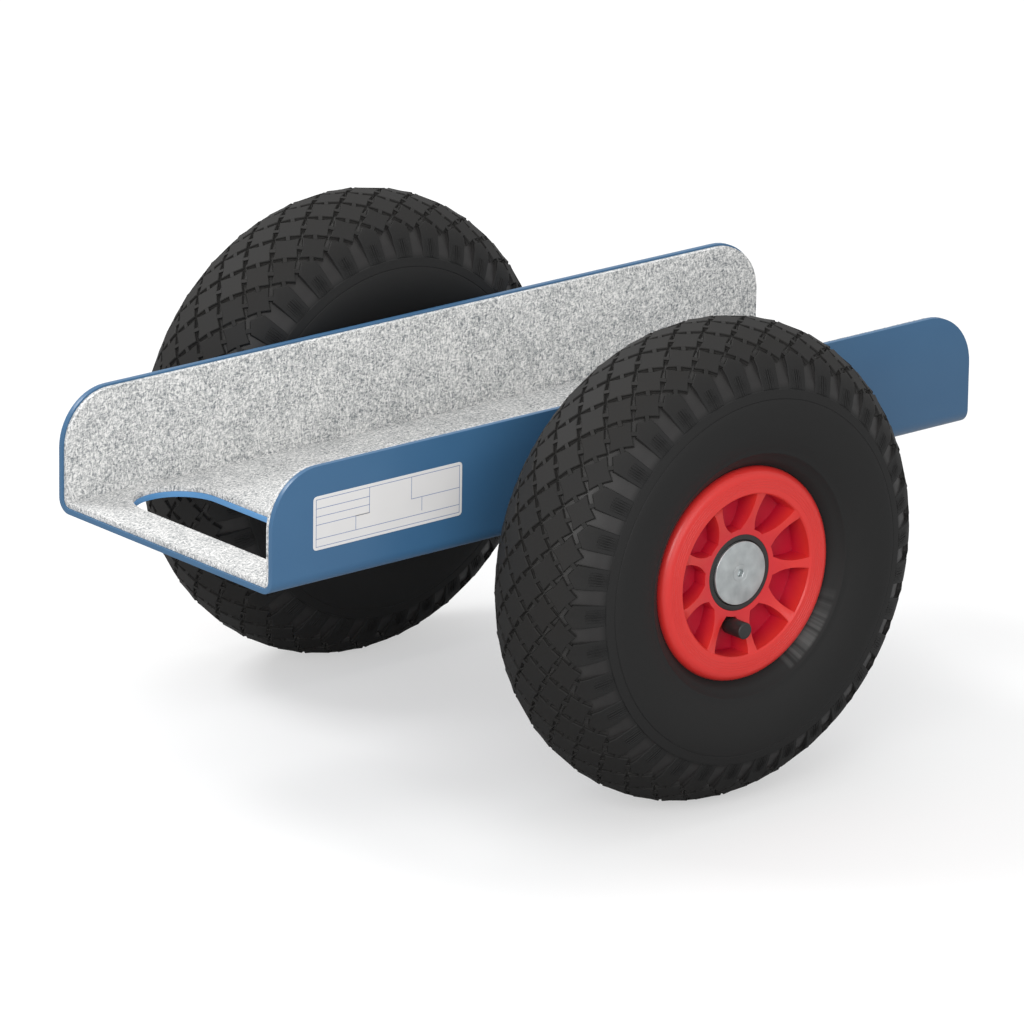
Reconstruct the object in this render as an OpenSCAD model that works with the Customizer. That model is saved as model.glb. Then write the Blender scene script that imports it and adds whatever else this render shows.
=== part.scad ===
/* [Trough] */
// Length of the trough
trough_length = 484; // [360:2:700]
// Width over the outside of the walls
trough_width = 180; // [170:1:200]
// Height over the outside of the walls
trough_height = 65; // [50:1:110]
// Thickness of the folded sheet
sheet = 3; // [2:0.5:5]
// Inside radius of the two folds
fold_radius = 5; // [2:0.5:10]
// Radius of the walls' upper corners
corner_radius = 30; // [10:1:36]

/* [Hand slots] */
// From the outside of a wall to the end of a hand slot
slot_side = 15; // [13:1:40]
// Width of a hand slot, along the trough
slot_width = 48; // [30:1:70]
// From the end of the trough to the edge of the slot
slot_inset = 26; // [15:1:50]

/* [Felt lining] */
// Thickness of the felt
felt = 3; // [1:0.5:6]
// How far the felt stays back from the edges of the sheet
felt_inset = 1; // [0.5:0.5:6]
// How far the felt stays back from the edge of a hand slot
felt_slot_inset = 0.5; // [0:0.5:4]

/* [Axle] */
// Diameter of the axle under the trough
axle_diameter = 25; // [22:0.5:30]
// Diameter of the turned journal in each wheel
journal_diameter = 20; // [18:0.5:21]
// Length of each weld between the axle and the trough
weld_length = 40; // [20:1:60]
// Width of a weld where it meets the trough
weld_width = 26; // [24:1:32]
// From the middle of the axle to the middle of a weld
weld_place = 50; // [35:1:60]
// Root gap between the axle and the sheet, filled by the welds
weld_root = 0.1; // [0.1:0.1:1]

/* [Wheels] */
// Gap between a tyre and the trough's wall
wheel_gap = 17.5; // [15:0.5:60]
// Outside diameter of the tyres
tyre_diameter = 260; // [250:1:270]
// Width of the tyres
tyre_width = 85; // [78:1:90]
// Thickness of the tyre's wall
tyre_wall = 6; // [5.5:0.5:8]
// Width of each of the tyre's two beads, along the axle
bead_width = 9.5; // [6:0.5:12]
// Thickness of the inner tube
tube_wall = 2; // [1:0.5:3]

/* [Tread] */
// Number of times that the pattern repeats round the tyre
tread_pitches = 34; // [30:1:38]
// Depth of the grooves
tread_depth = 2.5; // [1.5:0.5:4.5]
// Width of the grooves between the diamond blocks
tread_groove = 2.8; // [2:0.2:4]
// Rows of diamond blocks on each side of the middle row
tread_rows = 3; // [2:1:3]
// Angle round the tyre's section from one row to the next
row_angle = 12.6; // [11:0.2:13]
// Angle round the tyre's section at which the lugs end
shoulder_angle = 71; // [66:1:74]
// Width of a lug on the shoulder
lug_width = 12.6; // [8:0.2:14]
// How far the top of a lug lies below the edge of the sidewall
lug_drop = 0.6; // [0.4:0.1:1]

/* [Rim] */
// Diameter of the tyre's seat between the flanges
seat_diameter = 100; // [96:0.5:104]
// Height of the flanges over the seat
flange_height = 8; // [7:0.25:10]
// Width over the rim's flanges
rim_width = 69; // [62:1:72]
// Thickness of a flange
flange_thickness = 6.5; // [6:0.5:8]
// Radius of the rounded edge of a flange
flange_roll = 5.5; // [3:0.5:6]
// Thickness of the ring between the windows and the seat
ring_wall = 6; // [5:0.5:9]
// Number of spokes
spoke_count = 9; // [6:1:9]
// Angle of the first spoke round the wheel
spoke_angle = -2.5; // [-20:0.5:20]
// Thickness of a spoke half way along
spoke_thickness = 3.6; // [2.5:0.1:4.5]
// How much a spoke widens at its root on the hub
spoke_root_flare = 6; // [2:0.5:8]
// How much a spoke widens where it meets the ring
spoke_ring_flare = 2.6; // [1:0.2:5]
// Drop of the spokes below the face where they meet the ring
spoke_drop = 0.8; // [0.2:0.1:2]
// Thickness of the web that closes the windows
web_thickness = 3.5; // [2.5:0.5:6]
// Depth of the outer windows, from the face to the web
window_depth = 15; // [10:0.5:22]
// Diameter of the hub
hub_diameter = 46; // [44:0.5:50]
// Length of the hub
hub_length = 56; // [50:1:60]
// Ledge between the hub and the inner end of a window
hub_ledge = 0.8; // [0.4:0.2:1.6]

/* [Bearing] */
// Diameter of a bearing roller
roller_diameter = 7; // [5:0.5:7.5]
// Number of rollers in a bearing
roller_count = 10; // [6:1:10]
// Wall of the bearing sleeve
sleeve_wall = 1.5; // [1:0.25:1.5]
// Wall of the roller cage
cage_wall = 4.6; // [3:0.2:4.6]
// Thickness of the cage's ring at each end
cage_end = 2.5; // [1.5:0.25:5]
// Diameter of a seal cap
cap_diameter = 41.4; // [40.5:0.1:42]
// Height of a seal cap
cap_height = 6; // [5:0.5:8]
// Depth of the recess in a seal cap's face
cap_recess = 1.4; // [1:0.1:2]
// Wall of a seal cap round its recess
cap_rim = 2.9; // [2:0.1:3.2]

/* [Discs and screws] */
// Diameter of the retaining discs and the thrust washers
disc_diameter = 34.4; // [32:0.2:35]
// Thickness of a retaining disc
disc_thickness = 2; // [1.75:0.25:3]
// Thickness of a thrust washer
washer_thickness = 1.5; // [1:0.25:2.5]
// Diameter of the screw's head
screw_head = 9.6; // [9.2:0.2:13]
// Height of the screw's countersunk head
screw_head_height = 1.6; // [1:0.1:1.7]
// Diameter of the screw's shank
screw_shank = 6; // [5:0.5:8]
// Length of the screw, with its head
screw_length = 24; // [14:1:32]
// Width of the hexagon socket across its flats
socket_flats = 4; // [3:0.5:4.5]
// Depth of the hexagon socket
socket_depth = 2.6; // [2:0.2:4]

/* [Valve] */
// Diameter of the valve stem
stem_diameter = 6; // [5:0.5:8]
// From the outside of the hub to the middle of the valve
valve_offset = 6; // [5.5:0.5:9]
// Angle from the middle of its window to the valve
valve_shift = 4.5; // [-4:0.5:4.5]
// Radius of the stem's bend
stem_bend = 7; // [6:0.5:9]
// Diameter of the valve cap
valve_cap_diameter = 9; // [8.5:0.5:9.5]
// Thickness of the valve cap's closed end
valve_cap_end = 1.5; // [1:0.5:3]
// Length of stem that shows between the web and the valve cap
valve_gap = 5; // [0.5:0.5:6]
// How far the cap stands out past the rim's face
valve_reach = 4; // [-4:0.5:4]

/* [Clearances] */
// Radial clearance of the journal in the seal caps and between the rollers
running_fit = 0.05; // [0.02:0.01:0.1]
// Gap between pieces that are pressed or glued together
seat_gap = 0.02; // [0.01:0.01:0.05]
// Gap between a wheel and what lies beside it, along the axle
end_play = 0.4; // [0.3:0.05:0.8]
// Gap round pieces that are free of each other
free_gap = 0.5; // [0.3:0.05:0.8]

/* [Hidden] */
$fn = 96;
// Overrun of every cut past the faces that it opens
over = sheet;

// Heights of the axle's middle and of the trough's faces
axle_height = tyre_diameter / 2;
trough_bottom = axle_height + axle_diameter / 2 + weld_root;
trough_floor = trough_bottom + sheet;
trough_top = trough_bottom + trough_height;
inner_width = trough_width - 2 * sheet;
slot_length = trough_width - 2 * slot_side;
wheel_track = trough_width + tyre_width + 2 * wheel_gap;

// Foot of a weld on the axle: its half width and its height, as shares of the axle's radius
weld_foot_share = 0.84;
weld_height_share = 0.5;

// Places along the axle, measured outwards from the middle of a wheel
hub_end = hub_length / 2;
cap_foot = hub_end - cap_height;
recess_floor = hub_end - cap_recess;
journal_end = recess_floor + end_play;
disc_face = journal_end + disc_thickness;
shoulder = journal_end + washer_thickness;
rim_face = rim_width / 2;
flange_foot = rim_face - flange_thickness;
web_outer = rim_face - window_depth;
web_inner = web_outer - web_thickness;

// Radii of the bearing, from the journal outwards
roller_circle = journal_diameter / 2 + running_fit + roller_diameter / 2;
sleeve_bore = roller_circle + roller_diameter / 2 + running_fit;
sleeve_outer = sleeve_bore + sleeve_wall;
cage_half = cap_foot - free_gap;
roller_half = cage_half - cage_end;

// Diameters that go with the tyre's seat
flange_diameter = seat_diameter + 2 * flange_height;
window_diameter = seat_diameter - 2 * ring_wall;

// The tyre's section, round at the real sizes: half its width, half its height, and its middle
section_sink = 5;
section_radius = tyre_width / 2;
section_height = (tyre_diameter / 2 - seat_diameter / 2 + section_sink) / 2;
section_circle = tyre_diameter / 2 - section_height;
bead_bore = seat_diameter / 2 + seat_gap;
bead_face = flange_foot - seat_gap;

// Windows of the rim: their ends, and how sharply the spokes widen at their ends
window_in = hub_diameter / 2 + hub_ledge;
window_out = window_diameter / 2;
flare_power = 4;
flare_steps = 6;

// Tread: reach of the grooves' floor from the middle of the section, and how far the blocks go into it,
// as shares of the wall below the floor
floor_reach = section_height - tread_depth;
block_sink_share = 0.5;
lug_sink_share = 0.75;

// Valve: in the window at the foot of the wheel, and the places along its stem
valve_radius = hub_diameter / 2 + valve_offset;
valve_angle = spoke_angle + (floor(spoke_count * 3 / 4) + 1 / 2) * 360 / spoke_count + valve_shift;
stem_level = web_inner - stem_bend - stem_diameter;
valve_tip = rim_face + valve_reach;
valve_cap_foot = web_outer + valve_gap;

// Colours
blue_coat = "#3f6a99";
felt_grey = "#c9c9c6";
tyre_black = "#2f2e2d";
rim_red = "#d3403a";
zinc = "#a9adae";
steel = "#8d9093";
plastic_black = "#242424";
brass = "#b08d4a";

// Puts the pieces of a wheel in place: their +Z points outwards, along the axle
module at_wheel(side) {
  translate([0, side * wheel_track / 2, axle_height]) rotate([-side * 90, 0, 0]) children();
}

// A tube round the wheel's axis between two heights
module ring(r_out, r_in, low, high) {
  translate([0, 0, low]) difference() {
    cylinder(r = r_out, h = high - low);
    translate([0, 0, -over]) cylinder(r = r_in, h = high - low + 2 * over);
  }
}

// The tyre's section made smaller by inset, in place beside the wheel's axis
module tyre_outline(inset) {
  translate([section_circle, 0])
    scale([(section_height - inset) / (section_radius - inset), 1]) circle(r = section_radius - inset);
}

// An upright plate along X with its two upper corners rounded
module side_plate(length, low, high, radius, y_low, y_high) {
  depth = y_high - y_low;
  translate([0, y_low, 0]) {
    translate([-length / 2, 0, low]) cube([length, depth, high - radius - low]);
    translate([-length / 2 + radius, 0, low]) cube([length - 2 * radius, depth, high - low]);
    for (end = [-1, 1]) translate([end * (length / 2 - radius), 0, high - radius])
      rotate([-90, 0, 0]) cylinder(r = radius, h = depth);
  }
}

// A long bar along X with its two lower edges rounded
module folded_bar(width, low, high, radius, length) {
  translate([-length / 2, -width / 2, low + radius]) cube([length, width, high - low - radius]);
  translate([-length / 2, -width / 2 + radius, low]) cube([length, width - 2 * radius, high - low]);
  for (side = [-1, 1]) translate([-length / 2, side * (width / 2 - radius), low + radius])
    rotate([0, 90, 0]) cylinder(r = radius, h = length);
}

// Oblong holes with round ends, one near each end of the trough
module hand_slots(grow, low, high) {
  radius = slot_width / 2 + grow;
  straight = slot_length - slot_width;
  for (end = [-1, 1])
    translate([end * (trough_length / 2 - slot_inset - slot_width / 2), 0, low]) {
      translate([-radius, -straight / 2, 0]) cube([2 * radius, straight, high - low]);
      for (side = [-1, 1]) translate([0, side * straight / 2, 0]) cylinder(r = radius, h = high - low);
    }
}

// One steel sheet folded to a U, with a hand slot near each end
module trough() {
  color(blue_coat) difference() {
    intersection() {
      folded_bar(trough_width, trough_bottom, trough_top, fold_radius + sheet, trough_length);
      side_plate(trough_length, trough_bottom, trough_top, corner_radius,
        -trough_width / 2 - over, trough_width / 2 + over);
    }
    folded_bar(inner_width, trough_floor, trough_top + over, fold_radius, trough_length + 2 * over);
    hand_slots(0, trough_bottom - over, trough_floor + over);
  }
}

// The room inside the trough that the felt can fill
module lining_room() {
  folded_bar(inner_width - 2 * seat_gap, trough_floor + seat_gap, trough_top + over, fold_radius,
    trough_length);
}

// Felt glued on the floor between the wall felts, open over the hand slots
module felt_base() {
  length = trough_length - 2 * felt_inset;
  width = inner_width - 2 * felt - 4 * seat_gap;
  color(felt_grey) difference() {
    intersection() {
      lining_room();
      translate([-length / 2, -width / 2, trough_floor]) cube([length, width, seat_gap + felt]);
    }
    hand_slots(felt_slot_inset, trough_floor - over, trough_floor + felt + over);
  }
}

// Felt glued on the inside of one wall, from the fold up to the rounded corners
module felt_wall(side) {
  face = inner_width / 2 - seat_gap;
  color(felt_grey) intersection() {
    lining_room();
    side_plate(trough_length - 2 * felt_inset, trough_floor,
      trough_top - felt_inset, corner_radius - felt_inset,
      side > 0 ? face - felt : -face - over, side > 0 ? face + over : felt - face);
  }
}

// Round bar across the trough with its welds, and a shoulder and a tapped journal for each wheel
module axle() {
  half = wheel_track / 2;
  radius = axle_diameter / 2;
  color(steel) difference() {
    translate([0, 0, axle_height]) rotate([90, 0, 0]) {
      cylinder(d = axle_diameter, h = 2 * (half - shoulder), center = true);
      cylinder(d = journal_diameter, h = 2 * (half + journal_end), center = true);
      for (side = [-1, 1]) translate([0, 0, side * weld_place - weld_length / 2])
        linear_extrude(height = weld_length)
          polygon([
            [-weld_width / 2, radius + weld_root],
            [weld_width / 2, radius + weld_root],
            [radius * weld_foot_share, radius * weld_height_share],
            [-radius * weld_foot_share, radius * weld_height_share],
          ]);
    }
    for (side = [-1, 1]) at_wheel(side) translate([0, 0, disc_face - screw_length - free_gap])
      cylinder(r = screw_shank / 2 + seat_gap, h = screw_length + free_gap);
  }
}

// The grooves' floor: the carcass in flat bands, one for each row and a wider one for each shoulder
module tread_floor() {
  bands = [for (i = [-tread_rows - 1 : tread_rows]) (i + 1 / 2) * row_angle];
  angles = concat([-shoulder_angle], bands, [shoulder_angle]);
  reach = floor_reach / cos(row_angle / 2);
  in_section() polygon(concat([[0, 0]], [for (a = angles) reach * [cos(a), sin(a)]]));
}

// Puts an outline round the middle of the section, widened where the tyre isn't round
module in_section() {
  translate([section_circle, 0]) scale([1, section_radius / section_height]) children();
}

// The carcass where it isn't covered by the tread
module sidewalls() {
  in_section() difference() {
    circle(r = section_height);
    polygon([[0, 0], for (a = [-shoulder_angle, 0, shoulder_angle]) 2 * section_height * [cos(a), sin(a)]]);
  }
}

// Section of the tyre in the grooves, with its two beads
module tyre_section() {
  flange_radius = flange_diameter / 2;
  difference() {
    union() {
      tread_floor();
      sidewalls();
      translate([bead_bore, -bead_face]) square([flange_radius - bead_bore, 2 * bead_face]);
    }
    tyre_outline(tyre_wall);
    translate([0, -tyre_width]) square([bead_bore, 2 * tyre_width]);
    translate([0, bead_width - bead_face]) square([flange_radius, 2 * (bead_face - bead_width)]);
    for (end = [0, 1]) mirror([0, end]) translate([0, bead_face])
      square([flange_radius + seat_gap, tyre_width]);
  }
}

// Stands an outline on the tread at an angle round the section, sunk by a share of the wall
module on_tread(angle, reach, sink_share) {
  foot = floor_reach - sink_share * (tyre_wall - tread_depth);
  widening = (section_radius / section_height - 1) * floor_reach * sin(angle);
  translate([section_circle, 0, widening]) rotate([0, 90 - angle, 0])
    translate([0, 0, foot]) linear_extrude(height = reach - foot) children();
}

// Radius of the tread at an angle round the section
function tread_radius(angle) = section_circle + section_height * cos(angle);

// Diamond block of one row, with a groove's width to each of its neighbours
module block(row) {
  angle = row * row_angle;
  half_width = PI * tread_radius(angle) / tread_pitches;
  half_height = row_angle * PI / 180 * section_height;
  share = 1 - tread_groove / 2 * norm([half_width, half_height]) / (half_width * half_height);
  a = half_width * share;
  b = half_height * share;
  on_tread(angle, sqrt(pow(tyre_diameter / 2, 2) - a * a) - section_circle, block_sink_share)
    polygon([[-b, 0], [0, -a], [b, 0], [0, a]]);
}

// Lug from a point between two diamonds down to the sidewall
module lug(hand) {
  head_angle = tread_rows * row_angle + tread_groove / section_height * 180 / PI;
  angle = (head_angle + shoulder_angle) / 2;
  half_angle = (shoulder_angle - head_angle) / 2;
  head = section_height * sin(half_angle);
  point = section_height * row_angle / 360 * lug_width * tread_pitches / tread_radius(angle);
  on_tread(hand * angle, section_height * cos(half_angle) - lug_drop, lug_sink_share)
    scale([hand, 1]) polygon([
      [head, 0],
      [head - point, -lug_width / 2],
      [-head - lug_drop, -lug_width / 2],
      [-head - lug_drop, lug_width / 2],
      [head - point, lug_width / 2],
    ]);
}

// The blocks of one pitch, each second row moved on by half a pitch
module tread_pitch() {
  for (row = [-tread_rows : tread_rows])
    rotate([0, 0, abs(row % 2) / 2 * 360 / tread_pitches]) block(row);
  for (hand = [-1, 1]) lug(hand);
}

// Tyre with two beads that grip the rim, diamond blocks on its tread and lugs on its shoulders
module tyre(side) {
  color(tyre_black) at_wheel(side) {
    rotate_extrude() tyre_section();
    for (k = [0 : tread_pitches - 1]) rotate([0, 0, k * 360 / tread_pitches]) tread_pitch();
  }
}

// Inner tube that fills the tyre and lies on the rim, open into the valve stem
module inner_tube(side) {
  color(plastic_black) at_wheel(side) difference() {
    rotate_extrude() difference() {
      tyre_outline(tyre_wall + free_gap);
      tyre_outline(tyre_wall + free_gap + tube_wall);
      translate([0, -tyre_width]) square([bead_bore, 2 * tyre_width]);
    }
    valve_way(seat_gap);
  }
}

// Half the thickness of a spoke, at a share t of its length
function spoke_half(t) = (spoke_thickness + spoke_root_flare * pow(1 - t, flare_power)
  + spoke_ring_flare * pow(t, flare_power)) / 2;

// Outline of one spoke along X, past both ends of the windows
module spoke_outline() {
  side = [for (i = [0 : flare_steps]) let (t = i / flare_steps)
    [window_in + (window_out - window_in) * t, spoke_half(t)]];
  polygon([
    [window_in - over, side[0][1]],
    for (p = side) p,
    [window_out + over, side[flare_steps][1]],
    [window_out + over, -side[flare_steps][1]],
    for (i = [flare_steps : -1 : 0]) [side[i][0], -side[i][1]],
    [window_in - over, -side[0][1]],
  ]);
}

// The windows between the spokes, cut from one height to another
module windows(low, high) {
  translate([0, 0, low]) linear_extrude(height = high - low) difference() {
    circle(r = window_out);
    circle(r = window_in);
    for (k = [0 : spoke_count - 1]) rotate([0, 0, spoke_angle + k * 360 / spoke_count]) spoke_outline();
  }
}

// Half of the rim's section without its hollows: seat, flange and rolled edge
module flange_section() {
  roll_middle = flange_diameter / 2 - flange_roll;
  square([seat_diameter / 2, rim_face]);
  translate([0, flange_foot]) square([roll_middle, flange_thickness]);
  translate([0, flange_foot]) square([flange_diameter / 2, flange_thickness - flange_roll]);
  translate([roll_middle, rim_face - flange_roll]) intersection() {
    circle(r = flange_roll);
    square(flange_roll);
  }
}

// The hollow in one face of the rim, rising from the hub to the flange
module dish_section() {
  polygon([
    [0, rim_face + over],
    [0, hub_end],
    [hub_diameter / 2, hub_end],
    [window_out, rim_face - spoke_drop],
    [window_out + spoke_drop, rim_face],
    [window_out + spoke_drop, rim_face + over],
  ]);
}

// The rim's section: both halves, less the hollows, the seal caps' seats and the bore
module rim_section() {
  difference() {
    for (face = [0, 1]) mirror([0, face]) flange_section();
    for (face = [0, 1]) mirror([0, face]) {
      dish_section();
      translate([0, cap_foot]) square([cap_diameter / 2 + seat_gap, rim_face]);
    }
    translate([0, -rim_width]) square([sleeve_outer + seat_gap, 2 * rim_width]);
  }
}

// Moulded rim: hub, spokes on each face, web, seat and two rolled flanges
module rim(side) {
  color(rim_red) at_wheel(side) difference() {
    rotate_extrude() rim_section();
    windows(web_outer, rim_face + over);
    windows(-rim_face - over, web_inner);
    valve_way(free_gap);
  }
}

// The way that the valve takes: in from the tube, round its bend and out through the web
module valve_way(gap) {
  radius = stem_diameter / 2 + gap;
  run = seat_diameter / 2 + tube_wall - valve_radius - stem_bend;
  rotate([0, 0, valve_angle]) translate([valve_radius, 0, stem_level]) {
    translate([stem_bend, 0, 0]) rotate([0, 90, 0]) cylinder(r = radius, h = run);
    translate([stem_bend, 0, stem_bend]) rotate([90, 0, 180])
      rotate_extrude(angle = -90) translate([stem_bend, 0]) circle(r = radius);
    translate([0, 0, stem_bend])
      cylinder(r = radius, h = valve_tip - valve_cap_end - stem_level - stem_bend);
  }
}

// Bent brass valve stem
module valve_stem(side) {
  color(brass) at_wheel(side) valve_way(0);
}

// Cap on the end of the valve stem
module valve_cap(side) {
  length = valve_tip - valve_cap_foot;
  color(plastic_black) at_wheel(side) rotate([0, 0, valve_angle])
    translate([valve_radius, 0, valve_cap_foot]) difference() {
      cylinder(d = valve_cap_diameter, h = length);
      translate([0, 0, -over])
        cylinder(r = stem_diameter / 2 + seat_gap, h = length - valve_cap_end + seat_gap + over);
    }
}

// Steel sleeve pressed into the hub, in which the rollers run
module bearing_sleeve(side) {
  color(steel) at_wheel(side) ring(sleeve_outer, sleeve_bore, seat_gap - cap_foot, cap_foot - seat_gap);
}

// The rollers' places round the journal
module roller_places() {
  for (k = [0 : roller_count - 1]) rotate([0, 0, k * 360 / roller_count])
    translate([roller_circle, 0, 0]) children();
}

// Plastic cage with a pocket for each roller
module roller_cage(side) {
  color(plastic_black) at_wheel(side) difference() {
    ring(roller_circle + cage_wall / 2, roller_circle - cage_wall / 2, -cage_half, cage_half);
    roller_places()
      cylinder(r = roller_diameter / 2 + running_fit, h = 2 * (roller_half + running_fit), center = true);
  }
}

// Rollers between the journal and the sleeve
module rollers(side) {
  color(steel) at_wheel(side) roller_places()
    cylinder(d = roller_diameter, h = 2 * roller_half, center = true);
}

// Cap that closes one end of the hub and seals on the journal, with a recess in its face
module seal_cap(side, face) {
  color(plastic_black) at_wheel(side) mirror([0, 0, face]) difference() {
    ring(cap_diameter / 2, journal_diameter / 2 + running_fit, cap_foot, hub_end);
    translate([0, 0, recess_floor]) cylinder(r = cap_diameter / 2 - cap_rim, h = cap_recess + over);
  }
}

// Steel washer between the hub and the axle's shoulder
module thrust_washer(side) {
  color(steel) at_wheel(side)
    ring(disc_diameter / 2, journal_diameter / 2 + seat_gap, -shoulder, -journal_end);
}

// Zinc-plated disc on the end of the axle, countersunk for its screw
module end_disc(side) {
  color(zinc) at_wheel(side) difference() {
    ring(disc_diameter / 2, screw_shank / 2 + seat_gap, journal_end, disc_face);
    screw_head_form(seat_gap, over);
  }
}

// Countersunk head of the screw with its top in the disc's face, or the room for it
module screw_head_form(gap, rise) {
  translate([0, 0, disc_face - screw_head_height]) rotate_extrude() polygon([
    [0, 0],
    [screw_shank / 2 + gap, 0],
    [screw_head / 2 + gap, screw_head_height],
    [screw_head / 2 + gap, screw_head_height + rise],
    [0, screw_head_height + rise],
  ]);
}

// Screw with a hexagon socket, in the end of the axle
module end_screw(side) {
  color(zinc) at_wheel(side) difference() {
    union() {
      screw_head_form(0, 0);
      translate([0, 0, disc_face - screw_length])
        cylinder(d = screw_shank, h = screw_length - screw_head_height);
    }
    translate([0, 0, disc_face - socket_depth])
      cylinder(d = socket_flats / cos(30), h = socket_depth + over, $fn = 6);
  }
}

trough();
axle();
felt_base();
felt_wall(-1);  // felt_wall_near
felt_wall(1);  // felt_wall_far
tyre(-1);  // tyre_near
inner_tube(-1);  // inner_tube_near
rim(-1);  // rim_near
bearing_sleeve(-1);  // bearing_sleeve_near
roller_cage(-1);  // roller_cage_near
rollers(-1);  // rollers_near
seal_cap(-1, 0);  // seal_cap_outer_near
seal_cap(-1, 1);  // seal_cap_inner_near
thrust_washer(-1);  // thrust_washer_near
end_disc(-1);  // end_disc_near
end_screw(-1);  // end_screw_near
valve_stem(-1);  // valve_stem_near
valve_cap(-1);  // valve_cap_near
tyre(1);  // tyre_far
inner_tube(1);  // inner_tube_far
rim(1);  // rim_far
bearing_sleeve(1);  // bearing_sleeve_far
roller_cage(1);  // roller_cage_far
rollers(1);  // rollers_far
seal_cap(1, 0);  // seal_cap_outer_far
seal_cap(1, 1);  // seal_cap_inner_far
thrust_washer(1);  // thrust_washer_far
end_disc(1);  // end_disc_far
end_screw(1);  // end_screw_far
valve_stem(1);  // valve_stem_far
valve_cap(1);  // valve_cap_far
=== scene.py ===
"""A felt-lined panel dolly on two air-filled wheels, dressed for a studio picture.

Lengths are in millimetres until a mesh is finished, and in metres in Blender.
"""
import math
import random

import bmesh
import bpy
from mathutils import Matrix, Vector


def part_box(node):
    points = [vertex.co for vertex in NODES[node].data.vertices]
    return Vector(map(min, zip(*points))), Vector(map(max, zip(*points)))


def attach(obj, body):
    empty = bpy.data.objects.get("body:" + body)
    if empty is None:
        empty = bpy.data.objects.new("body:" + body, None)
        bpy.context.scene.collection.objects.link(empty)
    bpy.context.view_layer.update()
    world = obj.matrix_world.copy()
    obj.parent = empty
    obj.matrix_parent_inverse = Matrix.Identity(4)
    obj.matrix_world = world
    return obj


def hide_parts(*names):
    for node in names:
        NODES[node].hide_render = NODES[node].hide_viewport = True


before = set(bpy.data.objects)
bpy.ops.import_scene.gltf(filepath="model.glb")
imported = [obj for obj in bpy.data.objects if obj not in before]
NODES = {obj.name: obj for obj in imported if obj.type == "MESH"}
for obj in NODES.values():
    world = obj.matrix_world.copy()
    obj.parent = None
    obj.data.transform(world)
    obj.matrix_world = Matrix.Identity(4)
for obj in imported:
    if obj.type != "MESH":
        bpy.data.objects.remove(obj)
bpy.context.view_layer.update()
MM = 0.001

# Wheels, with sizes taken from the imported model
TYRE_LOW, TYRE_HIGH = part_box("tyre_near")
TYRE_DIAMETER = (TYRE_HIGH.z - TYRE_LOW.z) / MM
TYRE_WIDTH = (TYRE_HIGH.y - TYRE_LOW.y) / MM
WHEEL_PLACE = -(TYRE_HIGH.y + TYRE_LOW.y) / 2
SECTION_RADIUS = TYRE_WIDTH / 2
SECTION_CIRCLE = TYRE_DIAMETER / 2 - SECTION_RADIUS
RIM_LOW, RIM_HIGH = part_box("rim_near")
FLANGE_RADIUS = (RIM_HIGH.x - RIM_LOW.x) / 2 / MM
RIM_FACE = (RIM_HIGH.y - RIM_LOW.y) / 2
WHEELS = {
    "near": Matrix.Translation((0, -WHEEL_PLACE, TYRE_DIAMETER / 2 * MM))
    @ Matrix.Rotation(math.radians(90), 4, "X"),
    "far": Matrix.Translation((0, WHEEL_PLACE, TYRE_DIAMETER / 2 * MM))
    @ Matrix.Rotation(math.radians(-90), 4, "X"),
}
# Hand slots: middle along the trough, half of the straight part across it, and radius of the ends
SLOT_MIDDLE, SLOT_STRAIGHT, SLOT_RADIUS = 192, 51, 24
# Edge radius in millimetres and number of facets over each rounded edge
ROUNDED = {
    "trough": (0.5, 3), "rim": (0.7, 3), "seal_cap": (0.35, 3),
    "valve_cap": (1.0, 4), "end_disc": (0.4, 2), "end_screw": (0.25, 2),
}
# Places on the tyre, as distances from the axle: where dust and the painted light on the groove floors
# begin and where they are full, and the two sides of a paler streaked band beside the rim
DUST_AND_LIGHT_START, DUST_AND_LIGHT_FULL = 108, 122
PALE_BAND_OUT, PALE_BAND_IN = 65.8, 64.5
# Direction of the paler band's side, and depths between which a block's matt skin turns to a groove's
# smooth one with painted light
PALE_BAND_SIDE = (0.74, 0, -0.67)
MATT_DEPTH, SMOOTH_DEPTH = 0.95, 1.4
# Depths below the rim's face between which the red is darkened to a painted crimson shade
RED_SHADE_START, RED_SHADE_FULL = 3, 14


# Making materials
def linear(code):
    """The linear colour of an sRGB hex value."""
    parts = [int(code[i:i + 2], 16) / 255 for i in (1, 3, 5)]
    return [p / 12.92 if p <= 0.04045 else ((p + 0.055) / 1.055) ** 2.4 for p in parts] + [1]


def add(tree, kind, values=None, **settings):
    """Adds a node, with its settings, and with values or other nodes' sockets on its inputs."""
    made = tree.nodes.new(kind)
    for name, value in settings.items():
        setattr(made, name, value)
    for key, value in (values or {}).items():
        if isinstance(value, bpy.types.NodeSocket):
            tree.links.new(value, made.inputs[key])
        else:
            made.inputs[key].default_value = value
    return made


def surface(name):
    """A new material with its tree, and the socket that gives a point's place on the piece."""
    material = bpy.data.materials.new(name)
    material.use_nodes = True
    tree = material.node_tree
    tree.nodes.clear()
    return material, tree, add(tree, "ShaderNodeTexCoord").outputs["Object"]


def close(material, tree, values):
    """Ends a material in one shader with the given values."""
    shader = add(tree, "ShaderNodeBsdfPrincipled", values)
    add(tree, "ShaderNodeOutputMaterial", {"Surface": shader.outputs["BSDF"]})
    return material


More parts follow.
